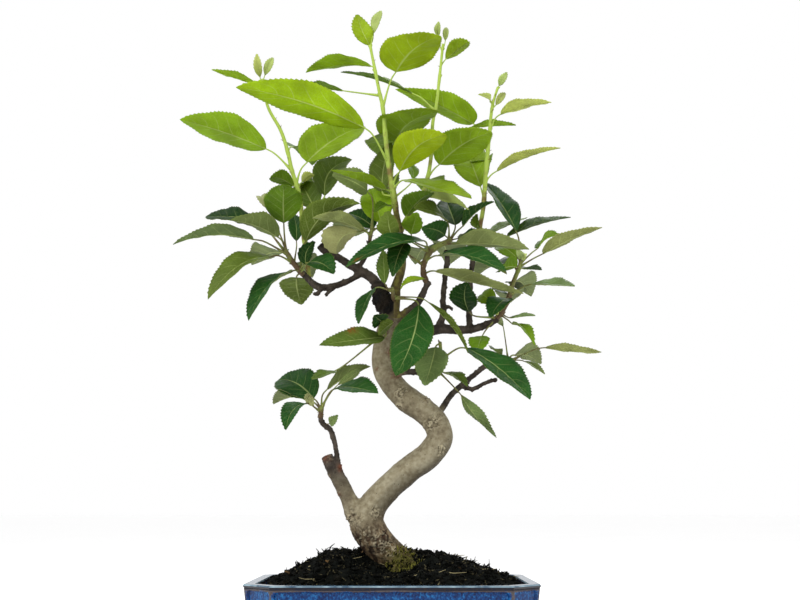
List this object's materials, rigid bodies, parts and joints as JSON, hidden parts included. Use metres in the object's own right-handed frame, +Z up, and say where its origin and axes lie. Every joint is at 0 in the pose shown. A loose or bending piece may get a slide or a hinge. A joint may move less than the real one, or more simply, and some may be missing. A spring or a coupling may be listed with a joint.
{
  "type": "potted bonsai tree",
  "caption": "Small broadleaf tree with a bent trunk, toothed green leaves and an open crown, growing from mounded soil in a shallow glazed pot with cut corners and feet.",
  "frame": {"origin": "middle of the whole tree and pot seen from above, on the surface that the pot stands on", "axes": "+Z up; -Y towards the viewer, the front of the tree; +X to the viewer's right, along the pot"},
  "size_m": [0.3162, 0.1594, 0.5107],
  "materials": {
    "glaze": "glossy mottled blue glaze",
    "drain_mesh": "matte",
    "soil": "dark fibrous potting soil",
    "bark": "rough grey-brown bark",
    "young_leaf": "satin, translucent",
    "leaf": "satin"
  },
  "bodies": {
    "root": {"pot": "glaze", "drain_mesh_left": "drain_mesh", "drain_mesh_right": "drain_mesh", "soil": "soil", "trunk": "bark", "spray_leader": "young_leaf", "spray_secondShoot": "young_leaf", "spray_rightShoot": "young_leaf", "spray_leftShoot": "young_leaf", "spray_leftSpur": "leaf", "spray_leftCentre": "leaf", "spray_centre": "leaf", "spray_right": "leaf", "spray_farRight": "leaf", "spray_lowRight": "leaf", "spray_front": "leaf", "spray_trunkLeft": "leaf", "spray_stump": "leaf"}
  },
  "joints": []
}
